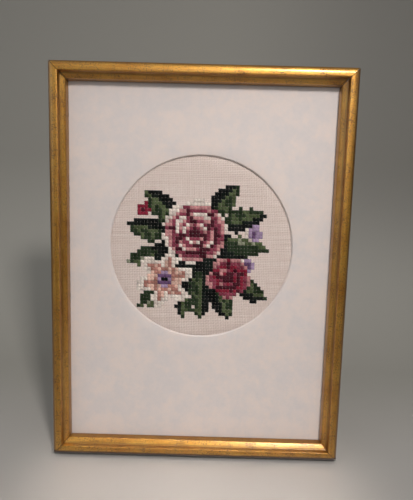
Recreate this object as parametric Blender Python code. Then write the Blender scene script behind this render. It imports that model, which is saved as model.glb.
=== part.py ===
"""Framed cross stitch sampler: a gilt frame on an easel strut, with a mount board and the stitched cloth.

Everything is modelled upright with the frame's back on the plane y = 0 and its front towards -Y, then
hung on one empty that leans the whole back and sets it on the floor, centred over the origin.
"""

import math

import bmesh
import bpy
from mathutils import Vector

MM = 0.001

# Frame
FRAME_WIDTH = 152.4 * MM
FRAME_HEIGHT = 203.2 * MM
RABBET_FROM_EDGE = 4.2 * MM
RABBET_DEPTH = 6.0 * MM
JOINT_GAP = 0.3 * MM
LEAN = math.radians(10.0)
FOOT_FLAT = 4.0 * MM

# Front of the rail's section in mm: distance in from the outer edge, height over the back
RAIL_FACE = (
    (0.0, 10.0), (0.05, 10.6), (0.2, 11.15), (0.45, 11.65), (0.8, 12.1), (1.25, 12.5), (1.75, 12.82),
    (2.3, 13.06), (2.85, 13.26), (3.4, 13.4), (3.95, 13.48), (4.5, 13.5), (4.9, 13.44), (5.12, 13.3),
    (5.22, 13.05), (5.3, 11.95), (5.36, 11.35), (5.5, 11.05), (6.1, 10.68), (7.1, 9.97), (8.0, 9.24),
    (8.25, 8.98), (8.42, 8.7), (8.55, 8.3), (8.6, 7.8), (8.6, 6.6), (8.4, 6.0),
)

# What lies in the rabbet, front to back
BOARD_WIDTH = 143.4 * MM
BOARD_HEIGHT = 194.2 * MM
MOUNT_BACK = 4.7 * MM
MOUNT_THICK = 1.0 * MM
CLOTH_BACK = 3.0 * MM
CLOTH_THICK = 1.4 * MM
BACKING_BACK = 0.3 * MM
BACKING_THICK = 2.4 * MM

# Round opening in the mount board
OPENING_DIAMETER = 95.9 * MM
OPENING_RIGHT = 0.6 * MM
OPENING_ABOVE_MIDDLE = 10.9 * MM
OPENING_BEVEL = 0.6 * MM
OPENING_SIDES = 128

# Easel strut and its hinge
STRUT_ANGLE = math.radians(29.5)
STRUT_TOP = 118.0 * MM
STRUT_THICK = 2.4 * MM
STRUT_TOP_WIDTH = 34.0 * MM
STRUT_FOOT_WIDTH = 52.0 * MM
STRUT_LENGTH = 135.0 * MM
STRUT_OFF_BACK = 0.4 * MM
HINGE_WIDTH = 24.0 * MM
HINGE_LEAF = 12.0 * MM
HINGE_THICK = 0.8 * MM

ROUND_SHADING_ANGLE = math.radians(40.0)


def material(name, colour, roughness, metallic=0.0):
    """A plain Principled finish."""
    made = bpy.data.materials.new(name)
    made.use_nodes = True
    shader = made.node_tree.nodes["Principled BSDF"]
    shader.inputs["Base Color"].default_value = (*colour, 1.0)
    shader.inputs["Roughness"].default_value = roughness
    shader.inputs["Metallic"].default_value = metallic
    return made


def add_object(name, bm, finish, smooth=False):
    """Turns a bmesh into a linked object with outward normals."""
    bmesh.ops.recalc_face_normals(bm, faces=bm.faces)
    mesh = bpy.data.meshes.new(name)
    bm.to_mesh(mesh)
    bm.free()
    mesh.materials.append(finish)
    if smooth:
        mesh.shade_smooth()
        mesh.set_sharp_from_angle(angle=ROUND_SHADING_ANGLE)
    made = bpy.data.objects.new(name, mesh)
    bpy.context.scene.collection.objects.link(made)
    return made


def prism(bm, starts, ends):
    """A closed solid between two matching outlines."""
    first = [bm.verts.new(p) for p in starts]
    last = [bm.verts.new(p) for p in ends]
    bm.faces.new(first)
    bm.faces.new(last[::-1])
    for i in range(len(first)):
        j = (i + 1) % len(first)
        bm.faces.new((first[j], first[i], last[i], last[j]))


def cut_flat(bm, point, normal):
    """Removes what lies beyond a plane and closes the cut."""
    geometry = bm.verts[:] + bm.edges[:] + bm.faces[:]
    cut = bmesh.ops.bisect_plane(bm, geom=geometry, dist=1e-7, plane_co=point, plane_no=normal, clear_outer=True)
    edges = [item for item in cut["geom_cut"] if isinstance(item, bmesh.types.BMEdge)]
    bmesh.ops.edgenet_fill(bm, edges=edges)


def rail_section():
    """The rail's closed section in metres: distance in from the outer edge, height over the back."""
    face = [(u * MM, d * MM) for u, d in RAIL_FACE]
    return [(0.0, 0.0), *face, (RABBET_FROM_EDGE, RABBET_DEPTH), (RABBET_FROM_EDGE, 0.0)]


def floor_plane():
    """A point on the floor and the direction down into it, in the upright frame's own axes."""
    return Vector((0.0, -FOOT_FLAT, 0.0)), Vector((0.0, math.sin(LEAN), -math.cos(LEAN)))


def add_rail(name, side, finish):
    """One mitred rail; side is bottom, top, left or right."""
    half = FRAME_WIDTH / 2
    trim = JOINT_GAP / 2 * math.sqrt(2)
    starts, ends = [], []
    for u, d in rail_section():
        near, far = u + trim, FRAME_HEIGHT - u - trim
        if side in ("bottom", "top"):
            z = u if side == "bottom" else FRAME_HEIGHT - u
            starts.append((-half + near, -d, z))
            ends.append((half - near, -d, z))
        else:
            x = -half + u if side == "left" else half - u
            starts.append((x, -d, near))
            ends.append((x, -d, far))
    bm = bmesh.new()
    prism(bm, starts, ends)
    if side != "top":
        cut_flat(bm, *floor_plane())
    return add_object(name, bm, finish, smooth=True)


def add_board(name, back, thick, finish):
    """A flat sheet that fills the rabbet."""
    half = BOARD_WIDTH / 2
    low = (FRAME_HEIGHT - BOARD_HEIGHT) / 2
    corners = ((-half, low), (half, low), (half, low + BOARD_HEIGHT), (-half, low + BOARD_HEIGHT))
    bm = bmesh.new()
    prism(bm, [(x, -back - thick, z) for x, z in corners], [(x, -back, z) for x, z in corners])
    return add_object(name, bm, finish)


def opening_ring(depth):
    """The bevelled opening's outline at a height over the frame's back."""
    slope = OPENING_BEVEL / MOUNT_THICK
    radius = OPENING_DIAMETER / 2 + (depth - MOUNT_BACK - MOUNT_THICK) * slope
    middle = FRAME_HEIGHT / 2 + OPENING_ABOVE_MIDDLE
    turns = [2 * math.pi * i / OPENING_SIDES for i in range(OPENING_SIDES)]
    return [(OPENING_RIGHT + radius * math.cos(t), -depth, middle + radius * math.sin(t)) for t in turns]


def add_mount_board(finish):
    """The mount board with its round opening cut on the bevel."""
    board = add_board("mount_board", MOUNT_BACK, MOUNT_THICK, finish)
    bm = bmesh.new()
    prism(bm, opening_ring(MOUNT_BACK - 1.0 * MM), opening_ring(MOUNT_BACK + MOUNT_THICK + 1.0 * MM))
    cutter = add_object("opening_cutter", bm, finish)
    cutter.hide_render = True
    cutter.display_type = "WIRE"
    cut = board.modifiers.new("round opening", "BOOLEAN")
    cut.operation = "DIFFERENCE"
    cut.solver = "EXACT"
    cut.object = cutter
    return board, cutter


def strut_axes():
    """Directions in the side view: down the strut, and out of its rear face."""
    down = Vector((0.0, math.sin(STRUT_ANGLE), -math.cos(STRUT_ANGLE)))
    rear = Vector((0.0, math.cos(STRUT_ANGLE), math.sin(STRUT_ANGLE)))
    return down, rear


def add_strut(finish):
    """The tapered strut, its foot cut flat on the floor."""
    down, rear = strut_axes()
    top = Vector((0.0, STRUT_OFF_BACK, STRUT_TOP))
    outline = (
        (-STRUT_TOP_WIDTH / 2, 0.0), (STRUT_TOP_WIDTH / 2, 0.0),
        (STRUT_FOOT_WIDTH / 2, STRUT_LENGTH), (-STRUT_FOOT_WIDTH / 2, STRUT_LENGTH),
    )
    front = [top + Vector((x, 0.0, 0.0)) + down * along for x, along in outline]
    bm = bmesh.new()
    prism(bm, front, [p + rear * STRUT_THICK for p in front])
    cut_flat(bm, *floor_plane())
    return add_object("strut", bm, finish)


def add_hinge(finish):
    """The bent plate that joins the strut to the backing board."""
    down, rear = strut_axes()
    top = Vector((0.0, STRUT_OFF_BACK, STRUT_TOP))
    off = JOINT_GAP + HINGE_THICK / 2
    leaf_y = HINGE_THICK / 2
    over = top - down * off
    bend = over + rear * ((leaf_y - over.y) / rear.y)
    corner = top + rear * (STRUT_THICK + off) - down * off
    line = [bend + Vector((0.0, 0.0, HINGE_LEAF)), bend, corner, corner + down * HINGE_LEAF]
    sides = []
    for i, point in enumerate(line):
        before = (point - line[i - 1]).normalized() if i else None
        after = (line[i + 1] - point).normalized() if i + 1 < len(line) else None
        along = [step for step in (before, after) if step is not None]
        across = [Vector((0.0, -step.z, step.y)) for step in along]
        mitre = sum(across, Vector()).normalized()
        sides.append(mitre * (HINGE_THICK / 2 / mitre.dot(across[0])))
    section = [p + s for p, s in zip(line, sides)] + [p - s for p, s in zip(line[::-1], sides[::-1])]
    reach = Vector((HINGE_WIDTH / 2, 0.0, 0.0))
    bm = bmesh.new()
    prism(bm, [p - reach for p in section], [p + reach for p in section])
    return add_object("strut_hinge", bm, finish)


def stand_up(pieces, cutter):
    """Leans all pieces back together, sets them on the floor and centres them over the origin."""
    stance = bpy.data.objects.new("stance", None)
    bpy.context.scene.collection.objects.link(stance)
    stance.rotation_euler = (-LEAN, 0.0, 0.0)
    for piece in [*pieces, cutter]:
        piece.parent = stance
    turn = stance.rotation_euler.to_matrix()
    depths = [(turn @ vertex.co).y for piece in pieces for vertex in piece.data.vertices]
    stance.location = (0.0, -(min(depths) + max(depths)) / 2, -FOOT_FLAT * math.sin(LEAN))


def build():
    """Clears the scene and makes every piece."""
    for old in list(bpy.data.objects):
        bpy.data.objects.remove(old, do_unlink=True)
    gilt = material("gilt", (0.46, 0.27, 0.075), 0.36, 0.85)
    board_paper = material("mount_paper", (0.66, 0.56, 0.53), 0.9)
    evenweave = material("evenweave", (0.66, 0.53, 0.45), 0.95)
    plain_board = material("plain_board", (0.12, 0.09, 0.065), 0.8)
    hinge_metal = material("hinge_metal", (0.5, 0.36, 0.16), 0.35, 1.0)
    pieces = [add_rail(f"rail_{side}", side, gilt) for side in ("top", "bottom", "left", "right")]
    mount, cutter = add_mount_board(board_paper)
    pieces.append(mount)
    pieces.append(add_board("stitched_cloth", CLOTH_BACK, CLOTH_THICK, evenweave))
    pieces.append(add_board("backing_board", BACKING_BACK, BACKING_THICK, plain_board))
    pieces.append(add_strut(plain_board))
    pieces.append(add_hinge(hinge_metal))
    stand_up(pieces, cutter)


build()
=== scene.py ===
"""Framed cross stitch sampler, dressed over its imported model: gilt rails, mount board, evenweave and thread.

Pieces are modelled in the upright frame's own axes, with the frame's back on the plane y = 0, its front
towards -Y and its bottom edge at z = 0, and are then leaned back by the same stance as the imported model.
"""
import logging
import math
import random
from collections.abc import Iterable, Sequence
from dataclasses import dataclass
from enum import Enum

import bmesh
import bpy
from mathutils import Matrix, Vector


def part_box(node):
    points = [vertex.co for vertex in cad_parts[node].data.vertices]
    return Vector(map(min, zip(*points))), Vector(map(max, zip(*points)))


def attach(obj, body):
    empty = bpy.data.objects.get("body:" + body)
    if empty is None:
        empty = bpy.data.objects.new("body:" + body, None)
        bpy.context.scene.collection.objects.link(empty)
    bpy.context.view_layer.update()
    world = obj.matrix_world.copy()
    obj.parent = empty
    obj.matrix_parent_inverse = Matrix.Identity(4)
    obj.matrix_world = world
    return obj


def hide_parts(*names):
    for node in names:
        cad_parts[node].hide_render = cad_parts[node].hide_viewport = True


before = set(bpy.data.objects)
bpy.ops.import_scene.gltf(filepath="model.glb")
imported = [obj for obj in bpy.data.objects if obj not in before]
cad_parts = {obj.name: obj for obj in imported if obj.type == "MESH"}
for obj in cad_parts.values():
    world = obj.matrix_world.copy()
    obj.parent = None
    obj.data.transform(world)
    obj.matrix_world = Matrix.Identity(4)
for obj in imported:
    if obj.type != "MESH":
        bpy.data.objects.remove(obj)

MM = 0.001
MM_PER_INCH = 25.4
BODY = "root"
LOG = logging.getLogger("sampler")

# The upright frame, and the sheets that lie in its rebate
FRAME_WIDTH = 152.4 * MM
FRAME_HEIGHT = 203.2 * MM
SHEET_WIDTH = 143.4 * MM
SHEET_HEIGHT = 194.2 * MM
SHEET_FOOT = (FRAME_HEIGHT - SHEET_HEIGHT) / 2

# The Mix node's sockets for colours, by number because their names repeat
MIX_FACTOR, MIX_FIRST, MIX_SECOND, MIX_RESULT = 0, 6, 7, 2

Point = tuple[float, float, float]
Colour = tuple[float, float, float]
Span = tuple[float, float]
Colour = tuple[float, float, float]


def srgb(red: float, green: float, blue: float) -> Colour:
    """Turns a colour as seen on screen, 0 to 255, into linear light.

    Args:
        red: Red from 0 to 255.
        green: Green from 0 to 255.
        blue: Blue from 0 to 255.

    Returns:
        The linear colour, each channel from 0 to 1.
    """
    def linear(value: float) -> float:
        """One channel."""
        value /= 255
        return value / 12.92 if value <= 0.04045 else ((value + 0.055) / 1.055) ** 2.4
    return linear(red), linear(green), linear(blue)


class Socket:
    """A node's output, with arithmetic that adds Math nodes."""

    def __init__(self, shader: "Nodes", output: bpy.types.NodeSocket) -> None:
        """Keeps the output and the node tree that it belongs to."""
        self.shader = shader
        self.output = output

    def _math(self, operation: str, *values: "Socket | float") -> "Socket":
        """Adds one Math node.

        Args:
            operation: The Math node's operation.
            values: Its inputs in order.

        Returns:
            The node's result.
        """
        return self.shader.node("ShaderNodeMath", {"operation": operation}, dict(enumerate(values)))

    def __add__(self, other: "Socket | float") -> "Socket":
        """Sum."""
        return self._math("ADD", self, other)

    __radd__ = __add__

    def __mul__(self, other: "Socket | float") -> "Socket":
        """Product."""
        return self._math("MULTIPLY", self, other)

    __rmul__ = __mul__

    def __sub__(self, other: "Socket | float") -> "Socket":
        """Difference."""
        return self._math("SUBTRACT", self, other)

    def __rsub__(self, other: "Socket | float") -> "Socket":
        """Difference the other way round."""
        return self._math("SUBTRACT", other, self)

    def __truediv__(self, other: "Socket | float") -> "Socket":
        """Quotient."""
        return self._math("DIVIDE", self, other)

    def __abs__(self) -> "Socket":
        """Absolute value."""
        return self._math("ABSOLUTE", self)

    def sine(self) -> "Socket":
        """Sine of the value in radians."""
        return self._math("SINE", self)

    def floor(self) -> "Socket":
        """Whole part."""
        return self._math("FLOOR", self)

    def least(self, other: "Socket | float") -> "Socket":
        """The smaller of two values."""
        return self._math("MINIMUM", self, other)

    def most(self, other: "Socket | float") -> "Socket":
        """The larger of two values."""
        return self._math("MAXIMUM", self, other)

    def band(self, low: float, high: float, start: float = 0.0, end: float = 1.0) -> "Socket":
        """Maps a range smoothly onto another and holds the ends.

        Args:
            low: Where the range starts; it may lie above high.
            high: Where the range ends.
            start: The result at low.
            end: The result at high.

        Returns:
            The mapped value.
        """
        values = {"Value": self, "From Min": low, "From Max": high, "To Min": start, "To Max": end}
        return self.shader.node("ShaderNodeMapRange", {"interpolation_type": "SMOOTHSTEP"}, values)


class Nodes:
    """A node tree and the ways of adding to it."""

    def __init__(self, tree: bpy.types.NodeTree) -> None:
        """Keeps the tree."""
        self.tree = tree

    def node(self, kind: str, settings: dict | None = None, values: dict | None = None,
             result: int | str = 0) -> Socket:
        """Adds a node.

        Args:
            kind: The node's type.
            settings: Properties to set before any value.
            values: Socket values or links by name or number.
            result: Which output to return.

            settings: Properties to set before any value.
            The chosen output.
        """
        made = self.tree.nodes.new(kind)
        for key, value in (settings or {}).items():
            setattr(made, key, value)
        for key, value in (values or {}).items():
            self._feed(made.inputs[key], value)
        return Socket(self, made.outputs[result])

    def _feed(self, socket: bpy.types.NodeSocket, value: "Socket | float | Sequence[float]") -> None:
        """Links a socket or sets its value."""
        if isinstance(value, Socket):
            self.tree.links.new(value.output, socket)
        elif socket.type == "RGBA":
            socket.default_value = (*value, 1.0)
        else:
            socket.default_value = value

    def axes(self, vector: Socket) -> tuple[Socket, Socket, Socket]:
        """The three parts of a vector."""
        parts = self.node("ShaderNodeSeparateXYZ", values={"Vector": vector}).output.node.outputs
        return Socket(self, parts[0]), Socket(self, parts[1]), Socket(self, parts[2])

    def noise(self, vector: Socket, scale: float, detail: float = 2.0, roughness: float = 0.5) -> Socket:
        """Fractal noise about 0.5.

        Args:
            vector: Where it is read.
            scale: Cells to the metre.
            detail: Octaves.
            roughness: Strength of the fine octaves.

        Returns:
            The noise value.
        """
        values = {"Vector": vector, "Scale": scale, "Detail": detail, "Roughness": roughness}
        return self.node("ShaderNodeTexNoise", values=values)

    def mix(self, factor: "Socket | float", first: "Socket | Colour", second: "Socket | Colour") -> Socket:
        """Mixes two colours.

        Args:
            factor: Share of the second.
            first: The colour at 0.
            second: The colour at 1.

        Returns:
            The mixed colour.
        """
        settings = {"data_type": "RGBA", "blend_type": "MIX", "clamp_factor": True}
        values = {MIX_FACTOR: factor, MIX_FIRST: first, MIX_SECOND: second}
        return self.node("ShaderNodeMix", settings, values, MIX_RESULT)


class Shader(Nodes):
    """One Principled material and the nodes that feed it."""

    def __init__(self, name: str, **constants: float | Colour) -> None:
        """Makes the material.

        Args:
            name: The material's name.
            constants: Principled inputs that are the same all over, with _ for a space.
        """
        self.material = bpy.data.materials.new(name)
        self.material.use_nodes = True
        super().__init__(self.material.node_tree)
        self.surface = self.tree.nodes["Principled BSDF"]
        for key, value in constants.items():
            socket = self.surface.inputs[key.replace("_", " ").title().replace("Ior", "IOR")]
            socket.default_value = (*value, 1.0) if socket.type == "RGBA" else value

    def set(self, name: str, value: Socket) -> None:
        """Feeds one input of the surface."""
        self._feed(self.surface.inputs[name], value)

    def place(self, scale: Point = (1.0, 1.0, 1.0)) -> Socket:
        """The point on the piece, in metres.

        Args:
            scale: Stretch along each axis, for grain.

        Returns:
            A vector.
        """
        here = self.node("ShaderNodeTexCoord", result="Object")
        return self.node("ShaderNodeMapping", {"vector_type": "POINT"}, {"Vector": here, "Scale": scale})

    def bump(self, height: Socket, distance: float) -> Socket:
        """A normal from a height.

        Args:
            height: The height map.
            distance: Metres that a height of 1 stands for.

        Returns:
            The bumped normal.
        """
        return self.node("ShaderNodeBump", values={"Height": height, "Distance": distance, "Strength": 1.0})


@dataclass(frozen=True)
class Gilt:
    """Antiqued gilding: brushed leaf with fine dark specks, and painted shade in the moulding's crease,
    towards its lip and along its side and bottom edges.
    """

    leaf: Colour = srgb(220, 168, 72)
    shade: Colour = srgb(182, 120, 36)
    painted_shade: Colour = srgb(62, 33, 10)
    roughness: float = 0.4
    relief: float = 0.07 * MM
    # Cells to the metre: along and across the brushing, then clouds, patches and specks
    brush_along: float = 60.0
    brush_across: float = 1700.0
    clouds: float = 70.0
    patches: float = 160.0
    specks: float = 1900.0
    # Where shade is painted, in mm from the outer edge, each from bare to full: the crease, the lip, the side
    # edges, and the bottom edge as a painted contact shadow
    waver: float = 0.5
    crease_above: Span = (5.15, 5.4)
    crease_below: Span = (6.6, 5.7)
    lip: Span = (7.75, 7.95)
    side_edge_shade: Span = (2.1, 1.3)
    foot_shadow: Span = (3.0, 2.1)

    def painted_shade_mask(self, shader: Shader, streak: Socket) -> Socket:
        """Where shade is painted: in the crease, towards the lip and along the side and foot arrises, the
        foot's band being a painted contact shadow.

        Args:
            shader: The material that it's for.
            streak: Noise that runs with the rail and makes the edges of the painted shade uneven.

        Returns:
            How much of it there is, from 0 to 1.
        """
        across, _, up = shader.axes(shader.place())
        waver = (streak - 0.5) * self.waver
        reaches = (FRAME_WIDTH / 2 - abs(across), up, FRAME_HEIGHT - up)
        side, foot, head = (reach / MM + waver for reach in reaches)
        inner = side.least(foot).least(head)
        # Painted shade in the crease below the hump
        crease = inner.band(*self.crease_above) * inner.band(*self.crease_below)
        # Painted shade along the side rails' outer edges, and a painted contact shadow along the bottom
        arris = (side.band(*self.side_edge_shade) * 0.55).most(foot.band(*self.foot_shadow) * 0.93)
        # Painted shade towards the lip, taken together with the crease and edge bands
        return (crease * 0.5).most(inner.band(*self.lip) * 0.4).most(arris)

    def dress(self, name: str, along_x: bool) -> bpy.types.Material:
        """Builds the finish for a rail.

        Args:
            name: The material's name.
            along_x: Whether the rail runs along X rather than Z.

        Returns:
            The material.
        """
        shader = Shader(name, specular_ior_level=0.5, coat_weight=1.0, coat_roughness=0.26)
        brush = (self.brush_along, self.brush_across, self.brush_across)
        here = shader.place()
        streak = shader.noise(shader.place(brush if along_x else brush[::-1]), 1.0, 3.0, 0.6)
        cloud = shader.noise(here, self.clouds, 3.0, 0.55)
        fine = shader.noise(here, self.specks, 3.0, 0.65)
        patch = shader.noise(here, self.patches, 2.0, 0.5)
        speck = (fine + patch * 0.3).band(0.65, 0.78)
        fleck = (streak + cloud * 0.4).band(0.8, 0.95)
        # The painted shade, with the gilding's own dark specks and flecks, darkens the leaf
        dark = self.painted_shade_mask(shader, streak).most(speck * 0.7).most(fleck * 0.5)
        tone = (streak * 0.35 + cloud * 0.25 + fine * 0.4).band(0.36, 0.62)
        shader.set("Base Color", shader.mix(dark, shader.mix(tone, self.shade, self.leaf), self.painted_shade))
        shader.set("Metallic", 1.0 - speck * 0.4 - fleck * 0.2)
        shader.set("Roughness", (streak - 0.5) * 0.2 + self.roughness + speck * 0.25)
        shader.set("Normal", shader.bump(streak * 0.3 + fine * 0.5 - speck * 0.4 + cloud * 0.3, self.relief))
        return shader.material


@dataclass(frozen=True)
class MountPaper:
    """Off-white mount board with a faint tooth and cloudy tone."""

    face: Colour = srgb(227, 217, 214)
    warm: Colour = srgb(233, 219, 212)
    cool: Colour = srgb(221, 213, 211)
    relief: float = 0.05 * MM
    # Cells to the metre
    clouds: float = 80.0
    mottles: float = 420.0
    teeth: float = 3200.0

    def dress(self) -> bpy.types.Material:
        """Builds the finish."""
        shader = Shader("mount_paper", roughness=0.92, specular_ior_level=0.25)
        here = shader.place()
        cloud = shader.noise(here, self.clouds, 5.0, 0.68).band(0.36, 0.64)
        mottle = shader.noise(here, self.mottles, 3.0, 0.6)
        tooth = shader.noise(here, self.teeth, 2.0, 0.6)
        colour = shader.mix(cloud, self.warm, self.cool)
        colour = shader.mix(mottle.band(0.35, 0.7) * 0.5, colour, self.face)
        shader.set("Base Color", colour)
        shader.set("Normal", shader.bump(tooth * 0.7 + mottle * 0.3, self.relief))
        return shader.material


@dataclass(frozen=True)
class Evenweave:
    """Plain evenweave linen seen thread by thread, from its own position on the cloth, with painted shade in
    the holes between threads.
    """

    pitch: float
    thread: Colour = srgb(248, 233, 226)
    dim: Colour = srgb(224, 203, 193)
    # The colour of the painted shade in the holes between threads
    hole: Colour = srgb(118, 94, 82)
    relief: float = 0.22 * MM
    # How far threads wander, in pitches
    stray: float = 0.16
    # Cells to the metre: the wandering, the slubs of weft and warp, and the fuzz
    wander: float = 260.0
    weft_slub: Point = (30.0, 1.0, 1500.0)
    warp_slub: Point = (1500.0, 1.0, 60.0)
    fuzz: float = 5200.0

    def dress(self) -> bpy.types.Material:
        """Builds the finish."""
        shader = Shader("evenweave", roughness=0.95, specular_ior_level=0.2, sheen_weight=0.15)
        here = shader.place()
        across, _, up = shader.axes(here)
        wander = (shader.noise(here, self.wander, 2.0, 0.5) - 0.5) * (self.stray * self.pitch)
        column, row = (across + wander) / self.pitch, (up + wander) / self.pitch
        warp = abs((column * math.pi).sine())
        weft = abs((row * math.pi).sine())
        over = ((column + 0.5).floor() + (row + 0.5).floor()) * (math.pi / 2)
        upper = abs(over.sine())
        # Painted shade where the threads leave holes
        hole = ((1.0 - warp) * (1.0 - weft)).band(0.35, 0.9)
        height = upper * (warp * 0.7) + (1.0 - upper) * (weft * 0.7) + (warp * weft) * 0.3
        slub_across = shader.noise(shader.place(self.weft_slub), 1.0, 2.0, 0.5)
        slub_up = shader.noise(shader.place(self.warp_slub), 1.0, 2.0, 0.5)
        slub = slub_across * 0.65 + slub_up * 0.35
        fuzz = shader.noise(here, self.fuzz, 2.0, 0.6)
        colour = shader.mix((slub * 0.5 + fuzz * 0.5).band(0.36, 0.64), self.dim, self.thread)
        shader.set("Base Color", shader.mix(hole * 0.85, colour, self.hole))
        shader.set("Normal", shader.bump(height - hole * 0.5 + fuzz * 0.1, self.relief))
        return shader.material


@dataclass(frozen=True)
class Floss:
    """Stranded cotton of one shade, with painted shade where a stitch dives into its hole and along the seams
    between stitches.
    """

    name: str
    shade: Colour
    middle: Span
    pitch: float
    relief: float = 0.05 * MM
    # Cells to the metre
    dye: float = 330.0
    ply: float = 4200.0
    # Shares of the shade: in its dark and light parts, and deep in a hole, where it is painted shade
    dark: float = 0.62
    light: float = 1.22
    deep: float = 0.2
    lift: float = 0.012

    def across_cell(self, place: Socket, middle: float) -> Socket:
        """How near a place is to a stitch's own middle along one axis: 1 there and 0 at its holes."""
        return abs((((place - middle) / self.pitch + 0.5) * math.pi).sine())

    def dress(self) -> bpy.types.Material:
        """Builds the finish."""
        shader = Shader(f"floss_{self.name}", roughness=0.5, specular_ior_level=0.08)
        here = shader.place()
        dye = shader.noise(here, self.dye, 2.0, 0.5)
        ply = shader.noise(here, self.ply, 2.0, 0.6)
        dark, deep = (tuple(channel * share for channel in self.shade) for share in (self.dark, self.deep))
        light = tuple(min(1.0, channel * self.light + self.lift) for channel in self.shade)
        colour = shader.mix((dye * 0.6 + ply * 0.4).band(0.34, 0.64), dark, light)
        across, _, up = shader.axes(here)
        column, row = self.across_cell(across, self.middle[0]), self.across_cell(up, self.middle[1])
        # Painted shade where the thread dives into the holes at the stitch's corners and along the seams
        # between stitches
        hole_shade = ((1.0 - column) * (1.0 - row)).band(0.3, 0.8)
        seam_shade = (1.0 - column.least(row)).band(0.72, 0.98)
        shader.set("Base Color", shader.mix(hole_shade.most(seam_shade * 0.45), colour, deep))
        shader.set("Normal", shader.bump(ply, self.relief))
        return shader.material


@dataclass(frozen=True)
class PlainBoard:
    """Brown board for the back and the strut, lightly rubbed."""

    brown: Colour = srgb(104, 84, 64)
    pale: Colour = srgb(132, 110, 86)
    relief: float = 0.04 * MM
    # Cells to the metre
    fibres: Point = (900.0, 900.0, 160.0)
    clouds: float = 60.0

    def dress(self) -> bpy.types.Material:
        """Builds the finish."""
        shader = Shader("plain_board", roughness=0.82, specular_ior_level=0.3)
        fibre = shader.noise(shader.place(self.fibres), 1.0, 3.0, 0.6)
        cloud = shader.noise(shader.place(), self.clouds, 3.0, 0.5)
        tone = (fibre * 0.6 + cloud * 0.4).band(0.36, 0.64)
        shader.set("Base Color", shader.mix(tone, self.brown, self.pale))
        shader.set("Normal", shader.bump(fibre, self.relief))
        return shader.material


@dataclass(frozen=True)
class HingeMetal:
    """Pressed hinge plate with a dull brassy finish."""

    brass: Colour = srgb(176, 148, 92)
    dull: Colour = srgb(128, 104, 64)
    roughness: float = 0.28
    relief: float = 0.02 * MM
    # Cells to the metre
    brushing: Point = (120.0, 3000.0, 3000.0)
    clouds: float = 300.0

    def dress(self) -> bpy.types.Material:
        """Builds the finish."""
        shader = Shader("hinge_metal", metallic=0.95)
        brushed = shader.noise(shader.place(self.brushing), 1.0, 2.0, 0.6)
        cloud = shader.noise(shader.place(), self.clouds, 3.0, 0.6)
        shader.set("Base Color", shader.mix(cloud.band(0.35, 0.65), self.dull, self.brass))
        shader.set("Roughness", brushed * 0.25 + self.roughness)
        shader.set("Normal", shader.bump(brushed, self.relief))
        return shader.material


@dataclass(frozen=True)
class Ground:
    """Seamless studio ground: a pale satin floor, and a matt sweep with painted shade that makes it greyest
    high on the right.
    """

    floor: Colour = srgb(183, 180, 176)
    wall: Colour = srgb(158, 156, 149)
    # The wall's colour where the painted shade is deepest
    far: Colour = srgb(140, 138, 132)
    satin: float = 0.42
    matt: float = 0.8
    # In metres: where the floor turns into the wall, and where painted shade turns the wall greyest
    turning: Span = (-0.045, 0.06)
    rightward: Span = (0.0, 0.16)
    upward: Span = (0.02, 0.12)
    # How far those edges waver, and in how many cells to the metre
    waver: float = 0.01
    clouds: float = 30.0

    def dress(self) -> bpy.types.Material:
        """Builds the finish."""
        shader = Shader("studio_ground", ior=1.8)
        here = shader.place()
        across, back, up = shader.axes(here)
        waver = (shader.noise(here, self.clouds, 2.0, 0.5) - 0.5) * self.waver
        # Painted shade: the wall darkens towards the right and upward
        greyest = (across + waver).band(*self.rightward) * up.band(*self.upward)
        wall = shader.mix(greyest, self.wall, self.far)
        shader.set("Base Color", shader.mix((back + waver).band(*self.turning), self.floor, wall))
        shader.set("Roughness", (back + waver).band(*self.turning, self.satin, self.matt))
        return shader.material


@dataclass(frozen=True)
class Stance:
    """How the upright frame stands: leaned back, on the flat along its bottom back edge."""

    lean: float = math.radians(10.0)
    foot_flat: float = 4.0 * MM

    def matrix(self) -> Matrix:
        """Takes the upright frame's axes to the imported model's."""
        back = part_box("rail_top")[1][1] - FRAME_HEIGHT * math.sin(self.lean)
        down = -self.foot_flat * math.sin(self.lean)
        return Matrix.Translation((0.0, back, down)) @ Matrix.Rotation(-self.lean, 4, "X")

    def floorward(self) -> Vector:
        """The way down through the floor, in the upright frame's axes."""
        return Vector((0.0, math.sin(self.lean), -math.cos(self.lean)))


def piece(name: str, mesh: bpy.types.Mesh, finish: bpy.types.Material,
          replaced: Iterable[str] = ()) -> bpy.types.Object:
    """Adds a piece in the frame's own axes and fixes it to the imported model.

    Args:
        name: The piece's name.
        mesh: Its mesh, in the upright frame's axes.
        finish: Its material.
        replaced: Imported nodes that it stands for.

    Returns:
        The placed object.
    """
    made = bpy.data.objects.new(name, mesh)
    bpy.context.scene.collection.objects.link(made)
    mesh.materials.append(finish)
    made.matrix_world = Stance().matrix()
    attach(made, BODY)
    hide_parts(*replaced)
    LOG.info("%s: %d faces", name, len(mesh.polygons))
    return made


def mesh_of(name: str, points: Sequence[Sequence[float]], faces: Sequence[Sequence[int]]) -> bpy.types.Mesh:
    """Makes a mesh.

    Args:
        name: The mesh's name.
        points: Its vertices.
        faces: Its faces, as vertex numbers.

    Returns:
        The mesh.
    """
    mesh = bpy.data.meshes.new(name)
    mesh.from_pydata(points, [], faces)
    mesh.validate()
    return mesh


def rounded(mesh: bpy.types.Mesh, angle: float) -> bpy.types.Mesh:
    """Shades a mesh round wherever its faces meet at less than an angle in degrees."""
    mesh.shade_smooth()
    mesh.set_sharp_from_angle(angle=math.radians(angle))
    return mesh


def outward(mesh: bpy.types.Mesh) -> bpy.types.Mesh:
    """Turns a closed mesh's normals out."""
    bm = bmesh.new()
    bm.from_mesh(mesh)
    bmesh.ops.recalc_face_normals(bm, faces=bm.faces)
    bm.to_mesh(mesh)
    bm.free()
    return mesh


class Side(Enum):
    """The four rails."""

    TOP = "top"
    BOTTOM = "bottom"
    LEFT = "left"
    RIGHT = "right"


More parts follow.
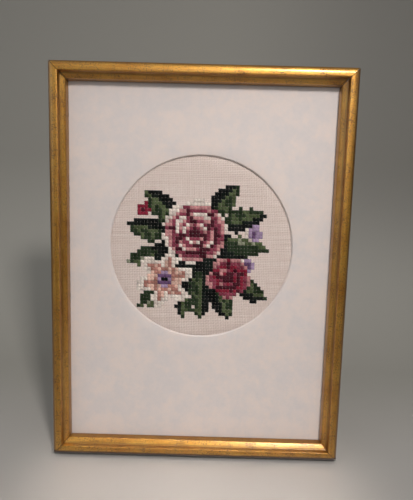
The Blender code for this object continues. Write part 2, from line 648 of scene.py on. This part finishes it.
@dataclass
class GiltFrame:
    """Four mitred gilt rails."""

    rebate_from_edge: float = 4.2 * MM
    rebate_depth: float = 6.0 * MM
    mitre_gap: float = 0.26 * MM
    segments: int = 48
    curve_steps: int = 4
    crisp: float = 38.0
    cut_tolerance: float = 1e-7
    # Front of the section in mm: distance in from the outer edge, height over the back
    knots: tuple[tuple[float, float], ...] = (
        (0.0, 10.0), (0.05, 10.7), (0.2, 11.35), (0.45, 11.9), (0.8, 12.38), (1.25, 12.8), (1.75, 13.1),
        (2.3, 13.31), (2.85, 13.43), (3.4, 13.49), (3.95, 13.5), (4.6, 13.48), (4.98, 13.4), (5.14, 13.22),
        (5.22, 12.6), (5.3, 11.8), (5.36, 11.3), (5.5, 11.02), (6.0, 10.7), (6.6, 10.28), (7.2, 9.84),
        (7.6, 9.53), (7.82, 9.32), (7.98, 9.05), (8.1, 8.6), (8.24, 7.8), (8.38, 6.9), (8.4, 6.0),
    )

    def section(self) -> list[tuple[float, float]]:
        """The closed section, its front smoothed through the knots."""
        curve: list[tuple[float, float]] = []
        last = len(self.knots) - 1
        for i in range(last):
            before, here = self.knots[max(0, i - 1)], self.knots[i]
            after, beyond = self.knots[i + 1], self.knots[min(last, i + 2)]
            for j in range(self.curve_steps):
                t = j / self.curve_steps
                curve.append(tuple(
                    0.5 * (2 * b + (c - a) * t + (2 * a - 5 * b + 4 * c - d) * t * t
                           + (3 * b - a - 3 * c + d) * t ** 3)
                    for a, b, c, d in zip(before, here, after, beyond)))
        curve.append(self.knots[-1])
        front = [(max(0.0, u) * MM, d * MM) for u, d in curve]
        edge, depth = self.rebate_from_edge, self.rebate_depth
        return [(0.0, 0.0), *front, (edge, depth), (edge, 0.0)]

    def point(self, side: Side, along: float, inward: float, depth: float) -> Point:
        """A point on a rail.

        Args:
            side: Which rail.
            along: From 0 at the left or bottom mitre to 1 at the other.
            inward: Distance in from the outer edge.
            depth: Height over the back.

        Returns:
            The point in the upright frame's axes.
        """
        trim = self.mitre_gap / 2 * math.sqrt(2) + inward
        if side in (Side.TOP, Side.BOTTOM):
            half = FRAME_WIDTH / 2 - trim
            z = inward if side is Side.BOTTOM else FRAME_HEIGHT - inward
            return (-half + 2 * half * along, -depth, z)
        x = FRAME_WIDTH / 2 - inward
        return (-x if side is Side.LEFT else x, -depth, trim + (FRAME_HEIGHT - 2 * trim) * along)

    def cut_foot(self, bm: bmesh.types.BMesh) -> None:
        """Cuts a rail flat on the floor and closes the cut."""
        stance = Stance()
        everything = bm.verts[:] + bm.edges[:] + bm.faces[:]
        cut = bmesh.ops.bisect_plane(
            bm, geom=everything, dist=self.cut_tolerance, plane_co=(0.0, -stance.foot_flat, 0.0),
            plane_no=stance.floorward(), clear_outer=True)
        edges = [item for item in cut["geom_cut"] if isinstance(item, bmesh.types.BMEdge)]
        bmesh.ops.edgenet_fill(bm, edges=edges)

    def rail(self, side: Side) -> bpy.types.Mesh:
        """One rail's mesh; all but the top one reach the floor."""
        section, last = self.section(), self.segments
        count = len(section)
        points = [self.point(side, i / last, u, d) for i in range(last + 1) for u, d in section]
        faces: list[tuple[int, ...]] = []
        for i in range(last):
            for j in range(count):
                k = (j + 1) % count
                faces.append((i * count + j, i * count + k, (i + 1) * count + k, (i + 1) * count + j))
        faces.append(tuple(range(count)))
        faces.append(tuple(range(last * count, (last + 1) * count))[::-1])
        mesh = mesh_of(f"rail_{side.value}", points, faces)
        bm = bmesh.new()
        bm.from_mesh(mesh)
        if side is not Side.TOP:
            self.cut_foot(bm)
        bmesh.ops.recalc_face_normals(bm, faces=bm.faces)
        bm.to_mesh(mesh)
        bm.free()
        return rounded(mesh, self.crisp)

    def build(self) -> None:
        """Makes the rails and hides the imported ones."""
        for side in Side:
            name = f"rail_{side.value}"
            finish = Gilt().dress(f"gilt_{side.value}", side in (Side.TOP, Side.BOTTOM))
            piece(f"gilt_{name}", self.rail(side), finish, [name])


@dataclass
class MountBoard:
    """The mount board and its bevelled round opening."""

    back: float = 4.7 * MM
    thick: float = 1.0 * MM
    diameter: float = 95.9 * MM
    right: float = 0.6 * MM
    above: float = 10.9 * MM
    bevel: float = 0.6 * MM
    arris: float = 0.1 * MM
    # Where the cut edge rounds over, as shares of the bevel and of the arris
    bevel_share: float = 0.12
    arris_share: float = 0.25
    # A ring of the face round the opening, so that the face shades flat
    margin: float = 6.0 * MM
    sides: int = 256
    crisp: float = 35.0
    level: float = 1e-9

    def centre(self) -> Span:
        """Where the opening's middle is, across and up."""
        return self.right, FRAME_HEIGHT / 2 + self.above

    def build(self) -> None:
        """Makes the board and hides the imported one."""
        across, up = self.centre()
        front, radius = self.back + self.thick, self.diameter / 2
        rings = [
            (radius - self.bevel, self.back),
            (radius - self.bevel * self.bevel_share, front - self.arris),
            (radius, front - self.arris * self.arris_share), (radius + self.arris, front),
            (radius + self.margin, front), (None, front), (None, self.back),
        ]
        points: list[Point] = []
        for reach, depth in rings:
            for i in range(self.sides):
                turn = 2 * math.pi * i / self.sides
                distance = reach if reach is not None else self.edge(turn)
                points.append((across + distance * math.cos(turn), -depth, up + distance * math.sin(turn)))
        faces: list[tuple[int, ...]] = []
        for ring in range(len(rings)):
            first, after = ring * self.sides, (ring + 1) % len(rings) * self.sides
            for i in range(self.sides):
                j = (i + 1) % self.sides
                faces.append((first + i, first + j, after + j, after + i))
        mesh = rounded(outward(mesh_of("mount_board", points, faces)), self.crisp)
        piece("mount_board_face", mesh, MountPaper().dress(), ["mount_board"])

    def edge(self, turn: float) -> float:
        """How far the board's edge is from the opening's middle in one direction.

        Args:
            turn: The direction as an angle from +X.

        Returns:
            The distance.
        """
        across, up = self.centre()
        spans = ((math.cos(turn), across, -SHEET_WIDTH / 2, SHEET_WIDTH / 2),
                 (math.sin(turn), up, SHEET_FOOT, SHEET_FOOT + SHEET_HEIGHT))
        return min(((high if way > 0 else low) - start) / way
                   for way, start, low, high in spans if abs(way) > self.level)


@dataclass
class Cloth:
    """The stretched evenweave and its 28 threads to the inch."""

    back: float = 3.0 * MM
    thick: float = 1.4 * MM
    pitch: float = MM_PER_INCH / 28 * MM
    # The swell inside the opening, and how squarely it falls off at the edge
    swell: float = 0.7 * MM
    fullness: int = 28
    ripple: float = 0.05 * MM
    waves: Span = (17 * MM, 23 * MM)
    cells: tuple[int, int] = (120, 162)
    crisp: float = 30.0

    def face(self, x: float, z: float) -> float:
        """How high the face stands over the frame's back.

        Args:
            x: Place across.
            z: Place up.

        Returns:
            The height, with a slight ripple and the swell inside the opening.
        """
        opening = MountBoard()
        across, up = opening.centre()
        reach = math.hypot(x - across, z - up) / (opening.diameter / 2 - opening.bevel)
        swell = self.swell * (1 - reach ** self.fullness) if reach < 1 else 0.0
        ripple = self.ripple * (1 + math.sin(x / self.waves[0]) * math.cos(z / self.waves[1]))
        return self.back + self.thick - ripple + swell

    def build(self) -> None:
        """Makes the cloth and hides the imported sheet."""
        columns, rows = self.cells
        xs = [-SHEET_WIDTH / 2 + SHEET_WIDTH * i / columns for i in range(columns + 1)]
        zs = [SHEET_FOOT + SHEET_HEIGHT * j / rows for j in range(rows + 1)]
        points: list[Point] = [(x, -self.face(x, z), z) for z in zs for x in xs]
        wide = columns + 1
        faces: list[tuple[int, ...]] = [
            (j * wide + i, j * wide + i + 1, (j + 1) * wide + i + 1, (j + 1) * wide + i)
            for j in range(rows) for i in range(columns)]
        rim = list(range(columns)) + [j * wide + columns for j in range(rows)]
        rim += [rows * wide + i for i in range(columns, 0, -1)] + [j * wide for j in range(rows, 0, -1)]
        first = len(points)
        points += [(points[k][0], -self.back, points[k][2]) for k in rim]
        for k, a in enumerate(rim):
            after = (k + 1) % len(rim)
            faces.append((rim[after], a, first + k, first + after))
        faces.append(tuple(range(first, first + len(rim)))[::-1])
        mesh = outward(rounded(mesh_of("evenweave_cloth", points, faces), self.crisp))
        made = piece("evenweave_cloth", mesh, Evenweave(self.pitch).dress(), ["stitched_cloth"])


class Thread(Enum):
    """The shades of stranded cotton, each as its name and its colour in full light."""

    NIGHT = ("night_green", (2, 7, 6))
    PINE = ("pine_green", (8, 20, 14))
    LEAF = ("leaf_green", (37, 52, 31))
    OLIVE = ("olive_green", (84, 96, 64))
    SAGE = ("sage_grey", (150, 152, 130))
    WINE = ("wine", (70, 18, 32))
    ROSE = ("dusky_rose", (136, 60, 78))
    BLUSH = ("blush", (200, 142, 142))
    TAUPE = ("warm_taupe", (182, 128, 116))
    PEACH = ("peach", (226, 188, 172))
    SHELL = ("shell", (240, 222, 212))
    CRIMSON = ("crimson", (138, 34, 56))
    LILAC = ("lilac", (170, 146, 178))
    VIOLET = ("violet", (108, 78, 116))

    def floss(self, middle: Span, pitch: float) -> Floss:
        """The finish of this shade, for stitches counted from a middle at a pitch."""
        name, seen = self.value
        return Floss(name, srgb(*seen), middle, pitch)


class Motif:
    """Something worked on the cloth, in stitches from the spray's middle, with u across and v up."""

    def shade(self, u: float, v: float) -> Thread | None:
        """The thread of the stitch at a place, or None where the motif doesn't reach.

        Args:
            u: Stitches to the right of the middle.
            v: Stitches above the middle.

        Returns:
            The thread, or None.
        """
        raise NotImplementedError


@dataclass(frozen=True)
class Foliage(Motif):
    """Dark leafy ground that shows between the flowers, with a ragged edge."""

    centre: Span
    radius: Span

    def shade(self, u: float, v: float) -> Thread | None:
        """The thread here, as for every motif."""
        across, up = (u - self.centre[0]) / self.radius[0], (v - self.centre[1]) / self.radius[1]
        ragged = 0.12 * math.sin(5 * math.atan2(up, across)) + 0.06 * math.sin(11 * math.atan2(up, across))
        if math.hypot(across, up) > 1 + ragged:
            return None
        weave = math.sin(u * 0.9 + v * 0.55) + math.sin(v * 1.1 - u * 0.35)
        return Thread.PINE if weave > 0.55 else Thread.NIGHT


@dataclass(frozen=True)
class Leaf(Motif):
    """A pointed leaf with a saw edge, lit on one side of its vein."""

    base: Span
    tip: Span
    width: float
    lit: int = 1
    pale: bool = False
    vein_half_width: float = 0.5
    tip_half_width: float = 0.45

    def shade(self, u: float, v: float) -> Thread | None:
        """The thread here, as for every motif."""
        across, up = self.tip[0] - self.base[0], self.tip[1] - self.base[1]
        length = math.hypot(across, up)
        along = ((u - self.base[0]) * across + (v - self.base[1]) * up) / length
        side = ((v - self.base[1]) * across - (u - self.base[0]) * up) / length
        share = along / length
        if not 0 <= share <= 1:
            return None
        saw = 0.4 * math.sin(along * 2.2) if 0.12 < share < 0.85 else 0.0
        reach = max(self.tip_half_width, self.width * math.sin(math.pi * share ** 0.75) ** 0.8 + saw)
        if abs(side) > reach:
            return None
        light, middle, dark = ((Thread.SAGE, Thread.OLIVE, Thread.LEAF) if self.pale
                               else (Thread.OLIVE, Thread.LEAF, Thread.PINE))
        if abs(side) < self.vein_half_width and share < 0.85:
            return dark if self.pale else light if share > 0.2 else middle
        if side * self.lit > 0:
            ribs = math.sin(along * 1.6 + abs(side) * 1.3)
            return light if ribs > 0.45 and abs(side) < reach * 0.8 else middle
        return dark if self.pale or abs(side) < reach * 0.45 else Thread.NIGHT


@dataclass(frozen=True)
class Ring:
    """One ring of petals: how many, from where to where, and turned how far."""

    petals: int
    inner: float
    outer: float
    turn: float


@dataclass(frozen=True)
class LayeredFlower(Motif):
    """A full flower of petal rings that overlap outward, each petal dark at its foot and pale at its rim."""

    centre: Span
    rings: tuple[Ring, ...]
    tones: tuple[Thread, ...] = (Thread.WINE, Thread.ROSE, Thread.BLUSH, Thread.SHELL)
    heart: Thread = Thread.WINE
    light_from: float = math.radians(125)

    def shade(self, u: float, v: float) -> Thread | None:
        """The thread here, as for every motif."""
        across, up = u - self.centre[0], v - self.centre[1]
        distance, turn = math.hypot(across, up), math.atan2(up, across)
        if distance < self.rings[0].inner:
            return self.heart
        for ring in self.rings:
            lobe = abs(math.cos(ring.petals * (turn - ring.turn) / 2))
            reach = ring.inner + (ring.outer - ring.inner) * (0.66 + 0.34 * lobe ** 0.7)
            if distance > reach:
                continue
            share = (distance - ring.inner) / (reach - ring.inner)
            lit = math.cos(turn - self.light_from) * 0.16
            level = share * 0.95 + lit + (0.1 if lobe > 0.8 else 0.0) - (0.42 if lobe < 0.3 else 0.0)
            deep, middle, soft, rim = self.tones
            return deep if level < 0.32 else middle if level < 0.58 else soft if level < 0.84 else rim
        return None


@dataclass(frozen=True)
class StarFlower(Motif):
    """An open flower of pointed petals, each with a darker line down its middle, round a dark eye."""

    centre: Span
    radius: float
    petals: int = 6
    turn: float = 0.26
    eye: float = 1.1
    stamens: float = 2.3
    tones: tuple[Thread, ...] = (Thread.TAUPE, Thread.PEACH, Thread.SHELL)

    def shade(self, u: float, v: float) -> Thread | None:
        """The thread here, as for every motif."""
        across, up = u - self.centre[0], v - self.centre[1]
        distance, turn = math.hypot(across, up), math.atan2(up, across) - self.turn
        lobe = abs(math.cos(self.petals * turn / 2))
        reach = self.radius * (0.5 + 0.5 * lobe ** 1.1)
        if distance > reach:
            return None
        if distance < self.eye:
            return Thread.NIGHT
        if distance < self.stamens:
            return Thread.VIOLET if (round(across) + round(up)) % 2 else Thread.LILAC
        deep, middle, rim = self.tones
        share = distance / reach
        if lobe > 0.93 and share < 0.72 or share < 0.36:
            return deep
        if lobe < 0.34:
            return deep if share < 0.8 else middle
        return middle if share < 0.68 else rim


@dataclass(frozen=True)
class Floret(Motif):
    """A small five-petalled filler flower."""

    centre: Span
    petal: Thread = Thread.LILAC
    eye: Thread = Thread.VIOLET
    radius: float = 2.6
    eye_radius: float = 0.8
    rim: float = 1.9

    def shade(self, u: float, v: float) -> Thread | None:
        """The thread here, as for every motif."""
        across, up = u - self.centre[0], v - self.centre[1]
        distance, turn = math.hypot(across, up), math.atan2(up, across)
        if distance > self.radius * (0.72 + 0.28 * abs(math.cos(2.5 * turn))):
            return None
        if distance < self.eye_radius:
            return self.eye
        return Thread.SHELL if distance > self.rim and across < 0 else self.petal


SPRAY: tuple[Motif, ...] = (
    Foliage((0.5, -2.0), (12.5, 10.5)),
    Leaf((-6.0, 9.0), (-15.5, 17.5), 3.5),
    Leaf((4.0, 11.0), (11.0, 19.5), 3.5, -1),
    Leaf((7.0, 8.0), (19.5, 11.5), 3.3, 1),
    Leaf((8.0, 3.0), (20.5, 1.0), 3.0, 1, True),
    Leaf((-9.0, 5.0), (-20.5, 8.0), 3.3, 1),
    Leaf((-12.0, 0.0), (-20.5, -3.0), 2.4, 1, True),
    Leaf((1.5, -5.0), (1.0, -19.5), 3.6, -1),
    Leaf((6.0, -11.0), (9.5, -19.5), 3.0, 1),
    Leaf((-12.0, -12.0), (-17.0, -16.0), 2.3, 1, True),
    Leaf((12.0, -9.0), (20.0, -13.5), 2.9, 1),
    Leaf((-3.5, -13.0), (-4.5, -19.5), 2.4, 1),
    Floret((16.0, 5.8)),
    Floret((-15.8, 12.2), Thread.CRIMSON, Thread.WINE, 2.1),
    Floret((14.6, -3.4), Thread.LILAC, Thread.VIOLET, 2.3),
    LayeredFlower((-1.0, 6.0), (
        Ring(3, 0.9, 3.3, 0.5), Ring(4, 2.6, 5.9, 1.1), Ring(6, 5.0, 9.4, 0.35))),
    StarFlower((-9.5, -8.0), 8.6),
    LayeredFlower((9.0, -7.0), (Ring(3, 0.8, 3.0, 0.2), Ring(5, 2.2, 6.4, 0.9)),
                  (Thread.WINE, Thread.CRIMSON, Thread.ROSE, Thread.BLUSH)),
)


@dataclass
class Stitching:
    """A spray of generic flowers and leaves in cross stitch, laid over two threads of the cloth.

    Where motifs overlap, the later one is worked.
    """

    centre: Span = (-1.1 * MM, 109.8 * MM)
    pitch: float = MM_PER_INCH / 14 * MM
    reach: int = 22
    motifs: tuple[Motif, ...] = SPRAY
    # A leg's section: two plies side by side, as shares of the half width and of the plies' height
    plies: tuple[Span, ...] = (
        (-1.0, 0.0), (-0.86, 0.62), (-0.45, 0.94), (0.0, 0.66), (0.45, 0.94), (0.86, 0.62), (1.0, 0.0))
    half_width: float = 0.68 * MM
    flatness: float = 0.44
    pinch: float = 0.62
    # How high legs rise over the cloth, how deep they dive, and how much higher the upper leg lies
    rise: float = 0.36 * MM
    dive: float = 0.12 * MM
    bow: float = 0.55
    under: float = 0.75
    over: float = 0.85
    # Where the holes are: in pitches from the stitch's middle, and under the cloth's face
    inset: float = 0.49
    sunk: float = 0.05 * MM
    # What differs from leg to leg: the holes' places in mm, the rise and the spread
    stray: float = 0.05
    rises: Span = (0.9, 1.12)
    spreads: Span = (0.92, 1.08)
    steps: int = 4
    seed: int = 14
    crisp: float = 60.0

    def chart(self) -> dict[Thread, list[tuple[int, int]]]:
        """Which stitches each thread works, as columns and rows from the middle."""
        worked: dict[Thread, list[tuple[int, int]]] = {thread: [] for thread in Thread}
        for row in range(-self.reach, self.reach + 1):
            for column in range(-self.reach, self.reach + 1):
                for motif in reversed(self.motifs):
                    thread = motif.shade(column, row)
                    if thread is not None:
                        worked[thread].append((column, row))
                        break
        return worked

    def leg(self, start: Vector, end: Vector, lift: float,
            slack: float) -> tuple[list[Vector], list[tuple[int, ...]]]:
        """One diagonal of a cross: two plies side by side that rise out of one hole and dive into the other.

        Args:
            start: The first hole, just under the cloth's face.
            end: The second hole.
            lift: How high the middle stands over the face.
            slack: How wide the thread spreads, about 1.

        Returns:
            The points and faces.
        """
        along = end - start
        across = Vector((-along.z, 0.0, along.x)).normalized()
        points: list[Vector] = []
        for i in range(self.steps + 1):
            t = i / self.steps
            bend = math.sin(math.pi * t) if 0 < t < 1 else 0.0
            swell = self.pinch + (1 - self.pinch) * bend ** 0.6
            arch = bend ** 0.7 * lift * self.bow - self.dive
            middle = start + along * t
            for x, y in self.plies:
                aside = across * (x * self.half_width * swell * slack)
                height = arch + y * self.half_width * self.flatness * swell
                points.append(middle + aside + Vector((0.0, -height, 0.0)))
        ring = len(self.plies)
        faces: list[tuple[int, ...]] = [tuple(range(ring))]
        for i in range(self.steps):
            for j in range(ring):
                k = (j + 1) % ring
                faces.append((i * ring + j, (i + 1) * ring + j, (i + 1) * ring + k, i * ring + k))
        faces.append(tuple(range(self.steps * ring, (self.steps + 1) * ring))[::-1])
        return points, faces

    def crosses(self, cells: Iterable[tuple[int, int]], cloth: Cloth,
                draw: random.Random) -> tuple[list[Vector], list[tuple[int, ...]]]:
        """Every cross of one thread.

        Args:
            cells: Its stitches, as columns and rows from the middle.
            cloth: The cloth that carries them.
            draw: The source of the differences from leg to leg.

        Returns:
            The points and faces.
        """
        points: list[Vector] = []
        faces: list[tuple[int, ...]] = []
        inset = self.inset * self.pitch
        for column, row in cells:
            x, z = self.centre[0] + column * self.pitch, self.centre[1] + row * self.pitch
            face = -(cloth.face(x, z) - self.sunk)
            for slope, level in ((1, 0.0), (-1, 1.0)):
                jitter = [draw.uniform(-self.stray, self.stray) * MM for _ in range(4)]
                start = Vector((x - inset + jitter[0], face, z - slope * inset + jitter[1]))
                end = Vector((x + inset + jitter[2], face, z + slope * inset + jitter[3]))
                lift = self.rise * (self.under + self.over * level) * draw.uniform(*self.rises)
                leg, sides = self.leg(start, end, lift, draw.uniform(*self.spreads))
                first = len(points)
                points.extend(leg)
                faces.extend(tuple(first + k for k in side) for side in sides)
        return points, faces

    def build(self, cloth: Cloth) -> None:
        """Works every thread as one piece of crosses on a cloth."""
        draw = random.Random(self.seed)
        for thread, cells in self.chart().items():
            if not cells:
                continue
            floss = thread.floss(self.centre, self.pitch)
            name = f"stitches_{floss.name}"
            mesh = outward(rounded(mesh_of(name, *self.crosses(cells, cloth, draw)), self.crisp))
            piece(name, mesh, floss.dress())


@dataclass
class Back:
    """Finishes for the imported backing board, strut and hinge, whose shapes stay as they are."""

    board: PlainBoard = PlainBoard()
    hinge: HingeMetal = HingeMetal()

    def build(self) -> None:
        """Dresses the three nodes."""
        board, hinge = self.board.dress(), self.hinge.dress()
        for node, finish in (("backing_board", board), ("strut", board), ("strut_hinge", hinge)):
            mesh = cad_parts[node].data
            mesh.materials.clear()
            mesh.materials.append(finish)
            LOG.info("%s: %s", node, finish.name)


@dataclass
class Viewpoint:
    """The photograph's camera, solved from the frame's corners and the round opening."""

    focal_px: float = 430.0
    long_side_px: float = 500.0
    sensor: float = 36.0
    pitch: float = math.radians(6.52)
    yaw: float = math.radians(0.16)
    roll: float = math.radians(1.51)
    frame_from_camera: Point = (-3.7 * MM, 9.03 * MM, 231.5 * MM)
    nearest: float = 5 * MM

    def build(self) -> None:
        """Places the camera in front of the leaning frame."""
        turn = (Matrix.Rotation(self.roll, 3, "Z") @ Matrix.Rotation(self.pitch, 3, "X")
                @ Matrix.Rotation(self.yaw, 3, "Y"))
        # Photograph axes are right, down and away; the upright frame's are right, back and up
        swap = Matrix(((1, 0, 0), (0, 0, 1), (0, -1, 0)))
        back = turn.transposed()
        eye = swap @ (-(back @ Vector(self.frame_from_camera))) + Vector((0.0, 0.0, FRAME_HEIGHT / 2))
        right, down, away = (swap @ (back @ Vector(axis)) for axis in ((1, 0, 0), (0, 1, 0), (0, 0, 1)))
        pose = Matrix.Identity(4)
        for i, column in enumerate((right, -down, -away, eye)):
            for j in range(3):
                pose[j][i] = column[j]
        data = bpy.data.cameras.new("camera")
        data.sensor_fit = "AUTO"
        data.sensor_width = self.sensor
        data.lens = self.focal_px / self.long_side_px * self.sensor
        data.clip_start = self.nearest
        camera = bpy.data.objects.new("camera", data)
        bpy.context.scene.collection.objects.link(camera)
        camera.matrix_world = Stance().matrix() @ pose
        bpy.context.scene.camera = camera
        LOG.info("camera: %.1f mm lens", data.lens)


@dataclass(frozen=True)
class SoftLight:
    """One square studio light."""

    name: str
    place: Point
    aim: Point
    size: float
    power: float
    tint: Colour = (1.0, 1.0, 1.0)
    spread: float = 180.0

    def build(self) -> None:
        """Adds the light."""
        data = bpy.data.lights.new(self.name, "AREA")
        data.shape = "SQUARE"
        data.size = self.size
        data.energy = self.power
        data.color = self.tint
        data.spread = math.radians(self.spread)
        light = bpy.data.objects.new(self.name, data)
        bpy.context.scene.collection.objects.link(light)
        turn = (Vector(self.aim) - Vector(self.place)).to_track_quat("-Z", "Y").to_matrix().to_4x4()
        light.matrix_world = Matrix.Translation(self.place) @ turn
        LOG.info("light %s: %g W", self.name, self.power)


def pool(name: str, across: float) -> SoftLight:
    """A narrow warm light that falls straight on the floor before one half of the bottom rail."""
    before = -0.078
    return SoftLight(name, (across, before, 0.32), (across, before, 0.0), 0.09, 0.0105, (1.0, 0.88, 0.8), 12.0)


@dataclass
class Studio:
    """The ground, its sweep and the lights."""

    half_width: float = 1.6
    near: float = -1.2
    bend: float = 0.046
    radius: float = 0.14
    top: float = 1.6
    bend_steps: int = 24
    crisp: float = 30.0
    lights: tuple[SoftLight, ...] = (
        SoftLight("key", (0.175, -0.4, 0.592), (0.02, -0.01, 0.14), 0.075, 0.335, (1.0, 0.95, 0.91), 70.0),
        SoftLight("front", (0.12, -1.05, 0.62), (0.0, 0.0, 0.1), 0.6, 0.12, (1.0, 0.97, 0.94), 70.0),
        SoftLight("window", (-1.1, -0.85, 0.45), (0.0, 0.0, 0.1), 0.7, 0.2, (0.95, 0.98, 1.0), 80.0),
        SoftLight("backdrop", (-0.75, 0.02, 0.35), (-0.2, 0.186, 0.12), 0.3, 0.06, spread=90.0),
        pool("pool_left", -0.036),
        pool("pool_right", 0.036),
    )
    low: Colour = (0.03, 0.03, 0.03)
    high: Colour = (0.4, 0.4, 0.4)
    dusk: Span = (0.12, 0.32)

    def ground(self) -> bpy.types.Object:
        """The floor that sweeps up into a backdrop."""
        line = [(self.near, 0.0), (self.bend, 0.0)]
        for i in range(1, self.bend_steps + 1):
            turn = math.pi / 2 * i / self.bend_steps
            line.append((self.bend + self.radius * math.sin(turn), self.radius * (1 - math.cos(turn))))
        line.append((self.bend + self.radius, self.top))
        points = [(side * self.half_width, y, z) for y, z in line for side in (-1, 1)]
        faces = [(2 * i, 2 * i + 1, 2 * i + 3, 2 * i + 2) for i in range(len(line) - 1)]
        mesh = rounded(mesh_of("ground", points, faces), self.crisp)
        mesh.materials.append(Ground().dress())
        made = bpy.data.objects.new("ground", mesh)
        bpy.context.scene.collection.objects.link(made)
        LOG.info("ground: %d faces", len(faces))
        return made

    def build(self) -> None:
        """Adds the ground, the lights and the even surrounding light."""
        self.ground()
        for light in self.lights:
            light.build()
        world = bpy.data.worlds.new("studio_air")
        world.use_nodes = True
        air = Nodes(world.node_tree)
        way = air.node("ShaderNodeTexCoord", result="Generated")
        glow = air.mix(air.axes(way)[2].band(*self.dusk), self.low, self.high)
        air.tree.links.new(glow.output, air.tree.nodes["Background"].inputs["Color"])
        bpy.context.scene.world = world
        bpy.context.scene.view_settings.view_transform = "Standard"


def main() -> None:
    """Builds the sampler in order."""
    logging.basicConfig(level=logging.INFO, format="%(message)s")
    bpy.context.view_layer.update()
    Viewpoint().build()
    GiltFrame().build()
    MountBoard().build()
    cloth = Cloth()
    cloth.build()
    Stitching().build(cloth)
    Back().build()
    Studio().build()


if __name__ == "__main__":
    main()
